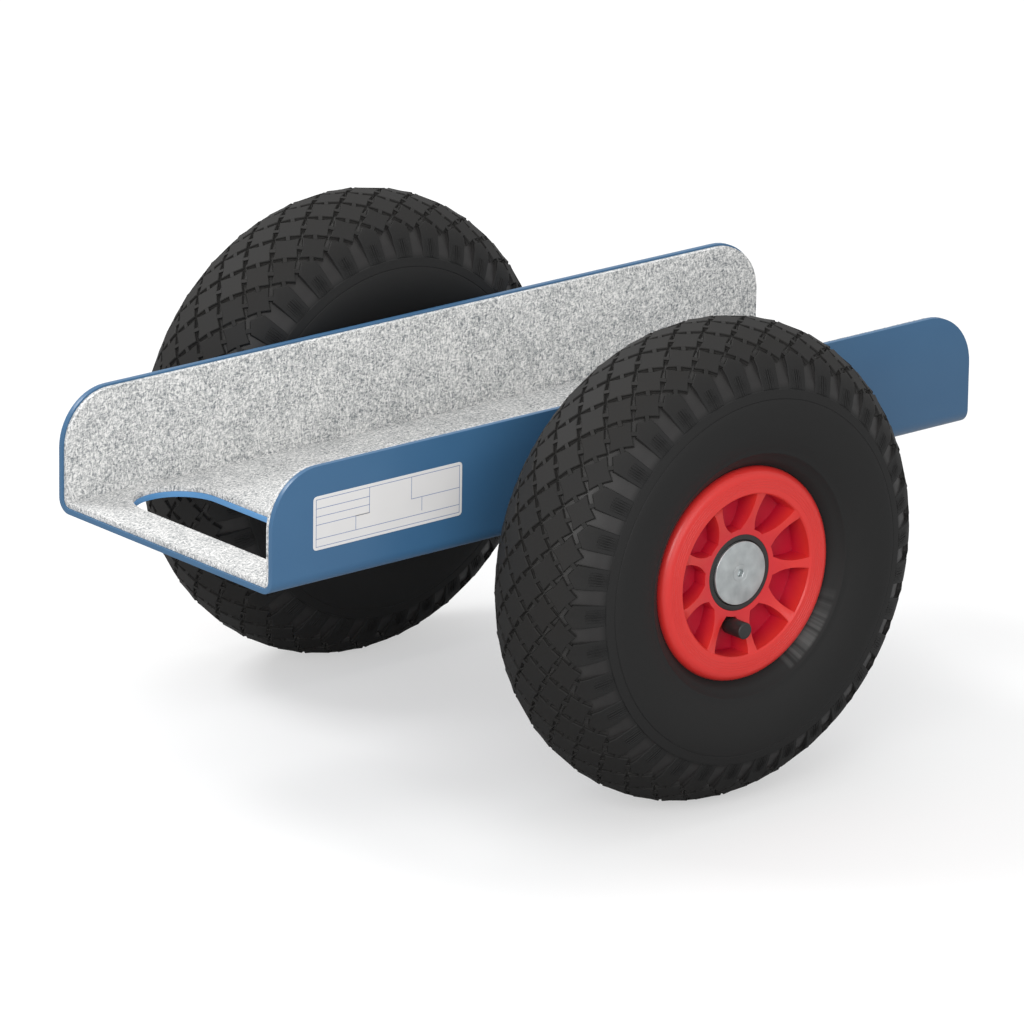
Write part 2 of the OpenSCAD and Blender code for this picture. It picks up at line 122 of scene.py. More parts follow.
def powder_coat():
    """Blue polyester powder coat, sprayed dry and baked: an even semi-gloss with a fine orange peel."""
    material, tree, place = surface("blue_powder_coat")
    peel = add(tree, "ShaderNodeTexNoise", {"Vector": place, "Scale": 1 / (1.8 * MM), "Detail": 1.5})
    cloud = add(tree, "ShaderNodeTexNoise", {"Vector": place, "Scale": 1 / (60 * MM), "Detail": 3})
    tint = add(tree, "ShaderNodeMix", {
        0: cloud.outputs["Fac"], 6: linear("#355d82"), 7: linear("#3e698d"),
    }, data_type="RGBA")
    # A painted highlight: the cut edge of each hand slot is painted a lighter blue, for the light that its
    # rounded edge catches
    parts = add(tree, "ShaderNodeSeparateXYZ", {0: place})
    along = add(tree, "ShaderNodeMath", {0: parts.outputs["X"]}, operation="ABSOLUTE")
    across = add(tree, "ShaderNodeMath", {0: parts.outputs["Y"]}, operation="ABSOLUTE")
    from_slot = add(tree, "ShaderNodeMath", {
        0: along.outputs[0], 1: SLOT_MIDDLE * MM,
    }, operation="SUBTRACT")
    past_straight = add(tree, "ShaderNodeMath", {
        0: across.outputs[0], 1: SLOT_STRAIGHT * MM,
    }, operation="SUBTRACT")
    beyond = add(tree, "ShaderNodeMath", {0: past_straight.outputs[0], 1: 0.0}, operation="MAXIMUM")
    spread = add(tree, "ShaderNodeCombineXYZ", {0: from_slot.outputs[0], 1: beyond.outputs[0]})
    reach = add(tree, "ShaderNodeVectorMath", {0: spread.outputs[0]}, operation="LENGTH")
    painted_lip_highlight = add(tree, "ShaderNodeMapRange", {
        "Value": reach.outputs["Value"],
        "From Min": (SLOT_RADIUS + 0.9) * MM, "From Max": (SLOT_RADIUS + 0.3) * MM,
    })
    # The painted highlight's lighter blue goes on the slot's cut edge
    coat = add(tree, "ShaderNodeMix", {
        0: painted_lip_highlight.outputs["Result"], 6: tint.outputs[2], 7: linear("#5b94c8"),
    }, data_type="RGBA")
    gloss = add(tree, "ShaderNodeMapRange", {
        "Value": cloud.outputs["Fac"], "To Min": 0.3, "To Max": 0.4,
    })
    bump = add(tree, "ShaderNodeBump", {
        "Height": peel.outputs["Fac"], "Strength": 0.35, "Distance": 0.03 * MM,
    })
    return close(material, tree, {
        "Base Color": coat.outputs[2], "Roughness": gloss.outputs["Result"],
        "IOR": 1.5, "Normal": bump.outputs["Normal"],
    })


def needle_felt():
    """Needle felt of mixed grey wool fibres: short light and dark streaks, with a soft nap."""
    material, tree, place = surface("felt")
    warp = add(tree, "ShaderNodeTexNoise", {"Vector": place, "Scale": 1 / (6 * MM), "Detail": 2})
    bent = add(tree, "ShaderNodeVectorMath", {
        0: warp.outputs["Color"], 1: [5 * MM] * 3,
    }, operation="MULTIPLY")
    moved = add(tree, "ShaderNodeVectorMath", {0: place, 1: bent.outputs[0]}, operation="ADD")
    upright = add(tree, "ShaderNodeMapping", {"Vector": moved.outputs[0], "Scale": [1, 1, 0.3]})
    lying = add(tree, "ShaderNodeMapping", {
        "Vector": moved.outputs[0], "Rotation": [0.5, 0.3, 0.6], "Scale": [0.4, 1, 1],
    })
    dark = add(tree, "ShaderNodeTexNoise", {
        "Vector": upright.outputs[0], "Scale": 1 / (0.95 * MM), "Detail": 2, "Roughness": 0.6,
    })
    pale = add(tree, "ShaderNodeTexNoise", {
        "Vector": lying.outputs[0], "Scale": 1 / (0.85 * MM), "Detail": 2, "Roughness": 0.6,
    })
    patch = add(tree, "ShaderNodeTexNoise", {"Vector": place, "Scale": 1 / (16 * MM), "Detail": 2})
    sum_of = add(tree, "ShaderNodeMath", {
        0: dark.outputs["Fac"], 1: pale.outputs["Fac"],
    }, operation="ADD")
    with_patch = add(tree, "ShaderNodeMath", {
        0: patch.outputs["Fac"], 1: 0.2, 2: sum_of.outputs[0],
    }, operation="MULTIPLY_ADD")
    share = add(tree, "ShaderNodeMapRange", {
        "Value": with_patch.outputs[0], "From Min": 0.84, "From Max": 1.32,
    })
    tint = add(tree, "ShaderNodeMix", {
        0: share.outputs["Result"], 6: linear("#767b7e"), 7: linear("#eeedeb"),
    }, data_type="RGBA")
    bump = add(tree, "ShaderNodeBump", {
        "Height": sum_of.outputs[0], "Strength": 0.6, "Distance": 0.35 * MM,
    })
    return close(material, tree, {
        "Base Color": tint.outputs[2], "Roughness": 0.95, "IOR": 1.4,
        "Sheen Weight": 0.12, "Sheen Roughness": 0.5, "Normal": bump.outputs["Normal"],
    })


def tyre_rubber(side, middle):
    """Carbon-black rubber, moulded: matt on the blocks, smooth in the grooves with painted light on their
    floors, a paler streaked band beside the rim.
    """
    material, tree, place = surface(f"tyre_rubber_{side}")
    centred = add(tree, "ShaderNodeMapping", {
        "Vector": place, "Location": [0, -middle, -TYRE_DIAMETER / 2 * MM],
    })
    flat = add(tree, "ShaderNodeVectorMath", {0: centred.outputs[0], 1: [1, 0, 1]}, operation="MULTIPLY")
    radius = add(tree, "ShaderNodeVectorMath", {0: flat.outputs[0]}, operation="LENGTH").outputs["Value"]
    # Distance from the middle of the section, which is less on the grooves' smooth floor
    out = add(tree, "ShaderNodeMath", {0: radius, 1: SECTION_CIRCLE * MM}, operation="SUBTRACT")
    width = add(tree, "ShaderNodeSeparateXYZ", {0: centred.outputs[0]})
    arm = add(tree, "ShaderNodeCombineXYZ", {0: out.outputs[0], 1: width.outputs["Y"]})
    reach = add(tree, "ShaderNodeVectorMath", {0: arm.outputs[0]}, operation="LENGTH").outputs["Value"]
    floor = add(tree, "ShaderNodeMapRange", {
        "Value": reach,
        "From Min": (SECTION_RADIUS - MATT_DEPTH) * MM, "From Max": (SECTION_RADIUS - SMOOTH_DEPTH) * MM,
    })
    dust = add(tree, "ShaderNodeTexNoise", {"Vector": place, "Scale": 1 / (22 * MM), "Detail": 4})
    grain = add(tree, "ShaderNodeTexNoise", {"Vector": place, "Scale": 1 / (0.9 * MM), "Detail": 2})
    crown = add(tree, "ShaderNodeMapRange", {
        "Value": radius, "From Min": DUST_AND_LIGHT_START * MM, "From Max": DUST_AND_LIGHT_FULL * MM,
    })
    dusty = add(tree, "ShaderNodeMath", {
        0: crown.outputs["Result"], 1: dust.outputs["Fac"],
    }, operation="MULTIPLY")
    grey = add(tree, "ShaderNodeMix", {
        0: dusty.outputs[0], 6: linear("#1e1e1e"), 7: linear("#1f1d1b"),
    }, data_type="RGBA")
    # Painted light: groove floors are a lighter grey than the blocks, more so on the crown, standing in for
    # light reaching them
    painted_lit_floor_grey = add(tree, "ShaderNodeMix", {
        0: crown.outputs["Result"], 6: linear("#2b2a2a"), 7: linear("#3b3a39"),
    }, data_type="RGBA")
    # Blocks take the dusty grey, and groove floors the lighter grey of the painted light
    smooth = add(tree, "ShaderNodeMix", {
        0: floor.outputs["Result"], 6: grey.outputs[2], 7: painted_lit_floor_grey.outputs[2],
    }, data_type="RGBA")
    # A paler band beside the rim on one side of the tyre, in streaks across it
    toward = add(tree, "ShaderNodeVectorMath", {0: flat.outputs[0]}, operation="NORMALIZE")
    pale_band_facing = add(tree, "ShaderNodeVectorMath", {
        0: toward.outputs[0], 1: PALE_BAND_SIDE,
    }, operation="DOT_PRODUCT")
    pale_band_side_mask = add(tree, "ShaderNodeMapRange", {
        "Value": pale_band_facing.outputs["Value"], "From Min": 0.91, "From Max": 0.99,
    })
    streak = add(tree, "ShaderNodeTexNoise", {"Vector": toward.outputs[0], "Scale": 14, "Detail": 4})
    bead_in = add(tree, "ShaderNodeMapRange", {
        "Value": radius, "From Min": PALE_BAND_OUT * MM, "From Max": PALE_BAND_IN * MM,
    })
    beside_rim = add(tree, "ShaderNodeMath", {
        0: bead_in.outputs["Result"], 1: pale_band_side_mask.outputs["Result"],
    }, operation="MULTIPLY")
    pale_streak_share = add(tree, "ShaderNodeMapRange", {
        "Value": streak.outputs["Fac"], "From Min": 0.38, "From Max": 0.75,
    })
    pale_band = add(tree, "ShaderNodeMath", {
        0: beside_rim.outputs[0], 1: pale_streak_share.outputs["Result"],
    }, operation="MULTIPLY")
    tint = add(tree, "ShaderNodeMix", {
        0: pale_band.outputs[0], 6: smooth.outputs[2], 7: linear("#5f5f5e"),
    }, data_type="RGBA")
    gloss = add(tree, "ShaderNodeMapRange", {
        "Value": floor.outputs["Result"], "To Min": 0.64, "To Max": 0.44,
    })
    bump = add(tree, "ShaderNodeBump", {
        "Height": grain.outputs["Fac"], "Strength": 0.3, "Distance": 0.05 * MM,
    })
    return close(material, tree, {
        "Base Color": tint.outputs[2], "Roughness": gloss.outputs["Result"],
        "IOR": 1.5, "Specular IOR Level": 0.26, "Normal": bump.outputs["Normal"],
    })


def red_plastic(side, middle):
    """Red polypropylene, injection moulded: satin, and it lets a little light through; painted shade
    darkens it deep in the windows.
    """
    material, tree, place = surface(f"red_plastic_{side}")
    flow = add(tree, "ShaderNodeTexNoise", {"Vector": place, "Scale": 1 / (30 * MM), "Detail": 3})
    skin = add(tree, "ShaderNodeTexNoise", {"Vector": place, "Scale": 1 / (1.2 * MM), "Detail": 2})
    tint = add(tree, "ShaderNodeMix", {
        0: flow.outputs["Fac"], 6: linear("#d12c2b"), 7: linear("#da352f"),
    }, data_type="RGBA")
    # Painted shade: deeper down in the windows, where shade falls in the recesses, the red is mixed toward
    # crimson
    across = add(tree, "ShaderNodeSeparateXYZ", {0: place})
    from_middle = add(tree, "ShaderNodeMath", {0: across.outputs["Y"], 1: -middle}, operation="ADD")
    outward = add(tree, "ShaderNodeMath", {0: from_middle.outputs[0]}, operation="ABSOLUTE")
    depth = add(tree, "ShaderNodeMapRange", {
        "Value": outward.outputs[0],
        "From Min": RIM_FACE - RED_SHADE_START * MM, "From Max": RIM_FACE - RED_SHADE_FULL * MM,
    })
    red_with_painted_shade = add(tree, "ShaderNodeMix", {
        0: depth.outputs["Result"], 6: tint.outputs[2], 7: linear("#bb1432"),
    }, data_type="RGBA")
    gloss = add(tree, "ShaderNodeMapRange", {
        "Value": flow.outputs["Fac"], "To Min": 0.27, "To Max": 0.36,
    })
    bump = add(tree, "ShaderNodeBump", {
        "Height": skin.outputs["Fac"], "Strength": 0.2, "Distance": 0.03 * MM,
    })
    return close(material, tree, {
        "Base Color": red_with_painted_shade.outputs[2], "Roughness": gloss.outputs["Result"],
        "IOR": 1.49, "Subsurface Weight": 0.06, "Subsurface Radius": [3 * MM, 0.6 * MM, 0.4 * MM],
        "Subsurface Scale": 1, "Normal": bump.outputs["Normal"],
    })


def black_plastic():
    """Black polyamide, injection moulded: a dark satin with a fine grain."""
    material, tree, place = surface("black_plastic")
    grain = add(tree, "ShaderNodeTexNoise", {"Vector": place, "Scale": 1 / (0.7 * MM), "Detail": 2})
    tint = add(tree, "ShaderNodeMix", {
        0: grain.outputs["Fac"], 6: linear("#1b1b1b"), 7: linear("#2b2a2a"),
    }, data_type="RGBA")
    bump = add(tree, "ShaderNodeBump", {
        "Height": grain.outputs["Fac"], "Strength": 0.3, "Distance": 0.03 * MM,
    })
    return close(material, tree, {
        "Base Color": tint.outputs[2], "Roughness": 0.42, "IOR": 1.53, "Normal": bump.outputs["Normal"],
    })


def zinc_plate():
    """Zinc plate with a clear passivation on pressed steel: pale grey and cloudy, with fine scratches."""
    material, tree, place = surface("zinc_plate")
    cloud = add(tree, "ShaderNodeTexNoise", {"Vector": place, "Scale": 1 / (6 * MM), "Detail": 5})
    thin = add(tree, "ShaderNodeMapping", {
        "Vector": place, "Rotation": [0, 0.7, 0], "Scale": [0.08, 1, 1],
    })
    scratch = add(tree, "ShaderNodeTexNoise", {
        "Vector": thin.outputs[0], "Scale": 1 / (0.5 * MM), "Detail": 3,
    })
    tint = add(tree, "ShaderNodeMix", {
        0: cloud.outputs["Fac"], 6: linear("#a6acae"), 7: linear("#dde2e2"),
    }, data_type="RGBA")
    gloss = add(tree, "ShaderNodeMapRange", {
        "Value": cloud.outputs["Fac"], "From Min": 0.3, "From Max": 0.7, "To Min": 0.32, "To Max": 0.5,
    })
    bump = add(tree, "ShaderNodeBump", {
        "Height": scratch.outputs["Fac"], "Strength": 0.25, "Distance": 0.02 * MM,
    })
    return close(material, tree, {
        "Base Color": tint.outputs[2], "Metallic": 0.85, "Roughness": gloss.outputs["Result"],
        "Normal": bump.outputs["Normal"],
    })


def turned_steel():
    """Bright drawn steel, turned at its ends: grey, with fine marks round the axle."""
    material, tree, place = surface("axle_steel")
    along = add(tree, "ShaderNodeMapping", {"Vector": place, "Scale": [0.05, 1, 0.05]})
    marks = add(tree, "ShaderNodeTexNoise", {
        "Vector": along.outputs[0], "Scale": 1 / (0.4 * MM), "Detail": 3,
    })
    tint = add(tree, "ShaderNodeMix", {
        0: marks.outputs["Fac"], 6: linear("#7d8083"), 7: linear("#a0a3a5"),
    }, data_type="RGBA")
    bump = add(tree, "ShaderNodeBump", {
        "Height": marks.outputs["Fac"], "Strength": 0.3, "Distance": 0.02 * MM,
    })
    return close(material, tree, {
        "Base Color": tint.outputs[2], "Metallic": 1.0, "Roughness": 0.35, "Normal": bump.outputs["Normal"],
    })


def tube_rubber():
    """Butyl rubber, extruded and smooth: black with a faint bloom."""
    material, tree, place = surface("tube_rubber")
    bloom = add(tree, "ShaderNodeTexNoise", {"Vector": place, "Scale": 1 / (15 * MM), "Detail": 3})
    tint = add(tree, "ShaderNodeMix", {
        0: bloom.outputs["Fac"], 6: linear("#1c1c1c"), 7: linear("#2c2b2a"),
    }, data_type="RGBA")
    return close(material, tree, {"Base Color": tint.outputs[2], "Roughness": 0.55, "IOR": 1.5})


def valve_brass():
    """Plain turned brass: a dull yellow with brown handling marks."""
    material, tree, place = surface("valve_brass")
    stain = add(tree, "ShaderNodeTexNoise", {"Vector": place, "Scale": 1 / (3 * MM), "Detail": 3})
    tint = add(tree, "ShaderNodeMix", {
        0: stain.outputs["Fac"], 6: linear("#8a6c34"), 7: linear("#c7a25a"),
    }, data_type="RGBA")
    return close(material, tree, {"Base Color": tint.outputs[2], "Metallic": 1.0, "Roughness": 0.35})


def plate_film():
    """White polyester film with a gloss face: a clean, faintly cloudy ground for the ruled lines."""
    material, tree, place = surface("plate_film")
    cloud = add(tree, "ShaderNodeTexNoise", {"Vector": place, "Scale": 1 / (25 * MM), "Detail": 2})
    tint = add(tree, "ShaderNodeMix", {
        0: cloud.outputs["Fac"], 6: linear("#d9d8d8"), 7: linear("#e4e3e2"),
    }, data_type="RGBA")
    return close(material, tree, {"Base Color": tint.outputs[2], "Roughness": 0.35, "IOR": 1.5})


def plate_ink():
    """Blue screen ink on the film: thin and matt."""
    material, tree, place = surface("plate_ink")
    cover = add(tree, "ShaderNodeTexNoise", {"Vector": place, "Scale": 1 / (0.8 * MM), "Detail": 2})
    tint = add(tree, "ShaderNodeMix", {
        0: cover.outputs["Fac"], 6: linear("#5d74a3"), 7: linear("#8592b4"),
    }, data_type="RGBA")
    return close(material, tree, {"Base Color": tint.outputs[2], "Roughness": 0.5, "IOR": 1.5})


# Making pieces
def holder_of(mesh):
    """A mesh's object, linked to the scene."""
    made = bpy.data.objects.new(mesh.name, mesh)
    bpy.context.scene.collection.objects.link(made)
    return made


def settled(holder, name):
    """The plain mesh that an object's modifiers give. The object goes."""
    bpy.context.view_layer.update()
    evaluated = holder.evaluated_get(bpy.context.evaluated_depsgraph_get())
    mesh = bpy.data.meshes.new_from_object(evaluated)
    mesh.name = name
    bpy.data.objects.remove(holder)
    return mesh


def piece(name, mesh, material, body, slot, *nodes, sharp=35):
    """A finished mesh as a piece with its material, that rides on a body and stands for nodes; the slot is
    not used.
    """
    mesh.materials.clear()
    mesh.materials.append(material)
    mesh.name = name
    mesh.shade_smooth()
    mesh.set_sharp_from_angle(angle=math.radians(sharp))
    made = holder_of(mesh)
    made.name = name
    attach(made, body)
    if nodes:
        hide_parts(*nodes)
    return made


def joined_copy(node):
    """A copy of a CAD node's mesh with its doubles merged and its flat faces joined."""
    mesh = NODES[node].data.copy()
    work = bmesh.new()
    work.from_mesh(mesh)
    bmesh.ops.remove_doubles(work, verts=work.verts, dist=0.004 * MM)
    bmesh.ops.dissolve_limit(
        work, angle_limit=math.radians(0.6), verts=work.verts, edges=work.edges,
    )
    work.to_mesh(mesh)
    work.free()
    return mesh


def softened(node, kind):
    """A copy of a CAD node with its edges rounded over, as a pressing or moulding has them."""
    radius, facets = ROUNDED[kind]
    holder = holder_of(joined_copy(node))
    rounding = holder.modifiers.new("Rounding", "BEVEL")
    rounding.width = radius * MM
    rounding.segments = facets
    rounding.limit_method = "ANGLE"
    rounding.angle_limit = math.radians(32)
    rounding.miter_outer = "MITER_ARC"
    return settled(holder, node)


# Tyre and its tread
PITCHES = 34
PITCH = 2 * math.pi / PITCHES
PITCH_SLICES = 8
# Angle round the section from one row of blocks to the next, and rows on each side of the middle one
ROW = math.radians(12.6)
ROWS = 3
TREAD_DEPTH = 2.5
# Width of the grooves where they cross and at the ties, and half of a tie's width
CROSSING = 1.7
GROOVE = 2.9
TIE_HALF = 1.15
TIE_BITE, TIE_DROP, TIE_ROUND = 0.3, 0.3, 0.15
# A flat top is let down, so that its corners don't pass the round of the tyre
LOWERED = 0.4
EDGE_ROUND = 0.35
DRAFT = 0.3
SUNK = 0.4
# Shoulder lugs: where their lower ends start and end, half of their angle round the wheel, and their ribs
SHELF_START, SHOULDER_END = math.radians(54.5), math.radians(71)
LUG_HALF = math.radians(3.15)
LUG_INSET, SHELF_DROP = 2.2, 0.65
NECK_SHARE, CHEEK_SHARE = 0.8, 0.28
RIB_HALF, RIB_SUNK, RIB_ROUND = 0.28, 1.2, 0.1
RIBS = ((-3.6, -0.42), (-2.2, -0.42), (-0.75, -0.2), (0.75, -0.2), (2.2, -0.42), (3.6, -0.42))
# Wall of the tyre, and the bead's seat: bore, toe, inside and top of the rim's flange, and room inside
TYRE_WALL = 6
BEAD_BORE, BEAD_TOE, FLANGE_INSIDE, FLANGE_TOP = 50.1, 18.5, 27.95, 29.6
TUBE_ROOM = 52.0
# Vent stubs on each sidewall, and the seed that places them
PIPS = 27
PIP_SEEDS = {"near": 11, "far": 12}


def tyre_point(around, along, height):
    """A point of the tyre, by its angle round the wheel, its angle round the section and its height."""
    reach = SECTION_RADIUS + height
    radius = SECTION_CIRCLE + reach * math.cos(along)
    return Vector((radius * math.cos(around), radius * math.sin(around), reach * math.sin(along)))


def tread_outline(corners, steps, inset):
    """The corners of a convex outline, drawn in by a length, with its sides divided into steps."""
    sides = len(corners)
    drawn = []
    for i in range(sides):
        before, here, after = corners[i - 1], corners[i], corners[(i + 1) % sides]
        first = (here - before).normalized()
        second = (after - here).normalized()
        inward = Vector((-first.y, first.x)) + Vector((-second.y, second.x))
        drawn.append(here + inward * inset / (1 + first.dot(second)))
    return [
        drawn[i].lerp(drawn[(i + 1) % sides], step / steps)
        for i in range(sides) for step in range(steps)
    ]


def stand_on(middle, flat, height):
    """A function that gives a point of the tread by its place on a block and its height."""
    around, along = middle
    if flat:
        foot = tyre_point(around, along, 0)
        out = Vector((
            math.cos(around) * math.cos(along), math.sin(around) * math.cos(along), math.sin(along),
        ))
        beside = Vector((-math.sin(around), math.cos(around), 0))
        upward = out.cross(beside)
        return lambda spot, level: foot + beside * spot.x + upward * spot.y + out * level
    radius = SECTION_CIRCLE + SECTION_RADIUS * math.cos(along)

    def bent(spot, level):
        there = along + spot.y / SECTION_RADIUS
        lift = level + height(there) if level > -TREAD_DEPTH else level
        return tyre_point(around + spot.x / radius, there, lift)
    return bent


def raise_block(work, middle, corners, steps, levels, flat=False, height=lambda along: 0.0):
    """Raises a tread block. Levels are insets and heights from its foot to the one that closes it."""
    place = stand_on(middle, flat, height)
    loops = [
        [work.verts.new(place(spot, level)) for spot in tread_outline(corners, steps, inset)]
        for inset, level in levels
    ]
    count = len(loops[0])
    for lower, upper in zip(loops, loops[1:]):
        for i in range(count):
            j = (i + 1) % count
            work.faces.new((lower[i], lower[j], upper[j], upper[i]))
    centre = sum((corner for corner in corners), Vector((0, 0))) / len(corners)
    tip = work.verts.new(place(centre, levels[-1][1]))
    for i in range(count):
        work.faces.new((loops[-1][i], loops[-1][(i + 1) % count], tip))


def star_outline(half_pitch, half_row):
    """Outline of a diamond block whose grooves widen from the crossings to the ties in their middles."""
    cell = [Vector(v) for v in ((half_pitch, 0), (0, half_row), (-half_pitch, 0), (0, -half_row))]
    outline = []
    for i, tip in enumerate(tread_outline(cell, 1, CROSSING / 2)):
        start, end = cell[i], cell[(i + 1) % 4]
        along = (end - start).normalized()
        inward = Vector((-along.y, along.x)) * GROOVE / 2
        middle = (start + end) / 2 + inward
        outline += [tip, middle - along * TIE_HALF, middle + along * TIE_HALF]
    return outline


def carcass_section():
    """The tyre's closed outline without its blocks, as distances from the axle and from the middle."""
    # Angle round the section and depth below its full round: the crown, the shoulder and its edge,
    # the sidewall, the raised ring beside the rim and the turn into the rim
    crown = [(angle, TREAD_DEPTH) for angle in range(0, 54, 6)]
    shoulder = [(52, 2.4), (57, 2.1), (64, 1.5), (70.6, 0.95), (71.4, 0.35), (75, 0.3)]
    edge = [(77.6, 0.3), (78.1, 0.55), (78.6, 0.25)]
    sidewall = [(angle, 0) for angle in (81, 86, 92, 98, 104, 110, 115, 118.6)]
    bead = [(119.4, -0.3), (120.4, -0.3), (121.2, 0.05), (126, 0.1), (130, 0.3), (133, 0.9)]
    upper = []
    for angle, dip in crown + shoulder + edge + sidewall + bead:
        reach = SECTION_RADIUS - dip
        along = math.radians(angle)
        upper.append((SECTION_CIRCLE + reach * math.cos(along), reach * math.sin(along)))
    upper += [
        (FLANGE_RADIUS + 0.15, FLANGE_TOP), (FLANGE_RADIUS + 0.1, FLANGE_INSIDE),
        (BEAD_BORE, FLANGE_INSIDE), (BEAD_BORE, BEAD_TOE),
    ]
    inner_reach = SECTION_RADIUS - TYRE_WALL
    for angle in (150, 132, 114, 96, 78, 60, 42, 24, 8):
        along = math.radians(angle)
        radius = max(SECTION_CIRCLE + inner_reach * math.cos(along), TUBE_ROOM)
        upper.append((radius, inner_reach * math.sin(along)))
    lower = [(radius, -out) for radius, out in reversed(upper) if out > 0]
    return upper + lower


def mirrored(outline, side):
    """An outline as it is on one side of the tread, still drawn the same way round."""
    return [Vector((corner.x, side * corner.y)) for corner in outline[::side]]


def tyre_pitch():
    """One pitch of the tyre: a slice of its carcass with the blocks, ties and lugs that stand on it."""
    work = bmesh.new()
    section = carcass_section()
    columns = []
    for step in range(PITCH_SLICES + 1):
        angle = (step / PITCH_SLICES - 0.5) * PITCH
        columns.append([
            work.verts.new((radius * math.cos(angle), radius * math.sin(angle), out))
            for radius, out in section
        ])
    for left, right in zip(columns, columns[1:]):
        for i in range(len(section)):
            j = (i + 1) % len(section)
            work.faces.new((left[i], right[i], right[j], left[j]))

    # The foot of a flat block reaches a millimetre deeper, to stay in the round carcass at its corners
    block_levels = [
        (-DRAFT, -TREAD_DEPTH - SUNK - 1), (0, -EDGE_ROUND - LOWERED), (EDGE_ROUND, -LOWERED),
    ]
    half_row = ROW * SECTION_RADIUS
    for row in range(-ROWS, ROWS + 1):
        along = row * ROW
        half_pitch = PITCH / 2 * (SECTION_CIRCLE + SECTION_RADIUS * math.cos(along))
        around = PITCH / 2 * (row % 2)
        outline = star_outline(half_pitch, half_row)
        raise_block(work, (around, along), outline, 1, block_levels, flat=True)

    # A tie joins the blocks half way along each groove
    tie_levels = [(0, -TREAD_DEPTH - SUNK), (0, -TIE_DROP), (TIE_ROUND, TIE_ROUND - TIE_DROP)]
    for gap in range(-ROWS - 1, ROWS + 1):
        along = (gap + 0.5) * ROW
        half_pitch = PITCH / 2 * (SECTION_CIRCLE + SECTION_RADIUS * math.cos(along))
        for side in (-1, 1):
            across = Vector((side * half_row, half_pitch)).normalized()
            if gap % 2:
                across.x = -across.x
            beside = Vector((-across.y, across.x)) * TIE_HALF
            across *= GROOVE / 2 + TIE_BITE
            tie = [across - beside, across + beside, -across + beside, -across - beside]
            raise_block(work, (side * PITCH / 4, along), tie, 1, tie_levels)

    # The shoulder has a broad lug in each pitch, with a lower ribbed end
    lug_levels = [
        (-DRAFT, -TREAD_DEPTH - SUNK), (0, -EDGE_ROUND), (EDGE_ROUND, 0), (LUG_INSET, 0),
    ]
    start = (ROWS + 1) * ROW
    lug_half = LUG_HALF * (SECTION_CIRCLE + SECTION_RADIUS * math.cos(start))
    foot = (SHOULDER_END - start) * SECTION_RADIUS
    neck = -half_row + GROOVE * NECK_SHARE
    cheek = -half_row * CHEEK_SHARE
    lug = [Vector(corner) for corner in (
        (lug_half, foot), (-lug_half, foot), (-lug_half, cheek), (0, neck), (lug_half, cheek),
    )]
    rib_foot = foot - 0.6
    rib_head = (SHELF_START - start) * SECTION_RADIUS + 1.2
    for side in (-1, 1):
        raise_block(
            work, (0, side * start), mirrored(lug, side), 4, lug_levels,
            height=lambda along: -SHELF_DROP if abs(along) > SHELF_START else 0.0,
        )
        for place, top in RIBS:
            rib = [Vector((place + x, y)) for x, y in (
                (RIB_HALF, rib_foot), (-RIB_HALF, rib_foot), (-RIB_HALF, rib_head), (RIB_HALF, rib_head),
            )]
            rib_levels = [(-0.05, -RIB_SUNK), (0, top - RIB_ROUND), (RIB_ROUND, top)]
            raise_block(work, (0, side * start), mirrored(rib, side), 1, rib_levels)
    mesh = bpy.data.meshes.new("tyre_pitch")
    bmesh.ops.recalc_face_normals(work, faces=work.faces)
    work.to_mesh(mesh)
    work.free()
    return mesh


def ring_tree():
    """Geometry nodes that set copies of a piece evenly round an axle and join them."""
    tree = bpy.data.node_groups.new("Copies round an axle", "GeometryNodeTree")
    sockets = {}
    kinds = {"Piece": "Geometry", "Copies": "Int", "Joint gap": "Float", "Finish": "Material"}
    for name, kind in kinds.items():
        made = tree.interface.new_socket(name, in_out="INPUT", socket_type=f"NodeSocket{kind}")
        sockets[name] = made.identifier
    tree.interface.new_socket("Ring", in_out="OUTPUT", socket_type="NodeSocketGeometry")
    given = add(tree, "NodeGroupInput").outputs
    turn = add(tree, "ShaderNodeMath", {0: 2 * math.pi, 1: given["Copies"]}, operation="DIVIDE")
    angle = add(tree, "ShaderNodeMath", {
        0: add(tree, "GeometryNodeInputIndex").outputs[0], 1: turn.outputs[0],
    }, operation="MULTIPLY")
    turned = add(tree, "ShaderNodeCombineXYZ", {"Z": angle.outputs[0]})
    rotation = add(tree, "FunctionNodeEulerToRotation", {0: turned.outputs[0]})
    points = add(tree, "GeometryNodePoints", {"Count": given["Copies"], "Position": [0, 0, 0]})
    copies = add(tree, "GeometryNodeInstanceOnPoints", {
        "Points": points.outputs[0], "Instance": given["Piece"], "Rotation": rotation.outputs[0],
    })
    real = add(tree, "GeometryNodeRealizeInstances", {0: copies.outputs[0]})
    merged = add(tree, "GeometryNodeMergeByDistance", {
        "Geometry": real.outputs[0], "Distance": given["Joint gap"],
    })
    finished = add(tree, "GeometryNodeSetMaterial", {
        "Geometry": merged.outputs[0], "Material": given["Finish"],
    })
    add(tree, "NodeGroupOutput", {0: finished.outputs[0]})
    return tree, sockets


def ring_of(mesh, name, copies, material, ring):
    """A mesh of copies set round the local Z axis, with their shared edges joined."""
    tree, sockets = ring
    holder = holder_of(mesh)
    modifier = holder.modifiers.new("Ring", "NODES")
    modifier.node_group = tree
    modifier[sockets["Copies"]] = copies
    modifier[sockets["Joint gap"]] = 0.01
    modifier[sockets["Finish"]] = material
    return settled(holder, name)


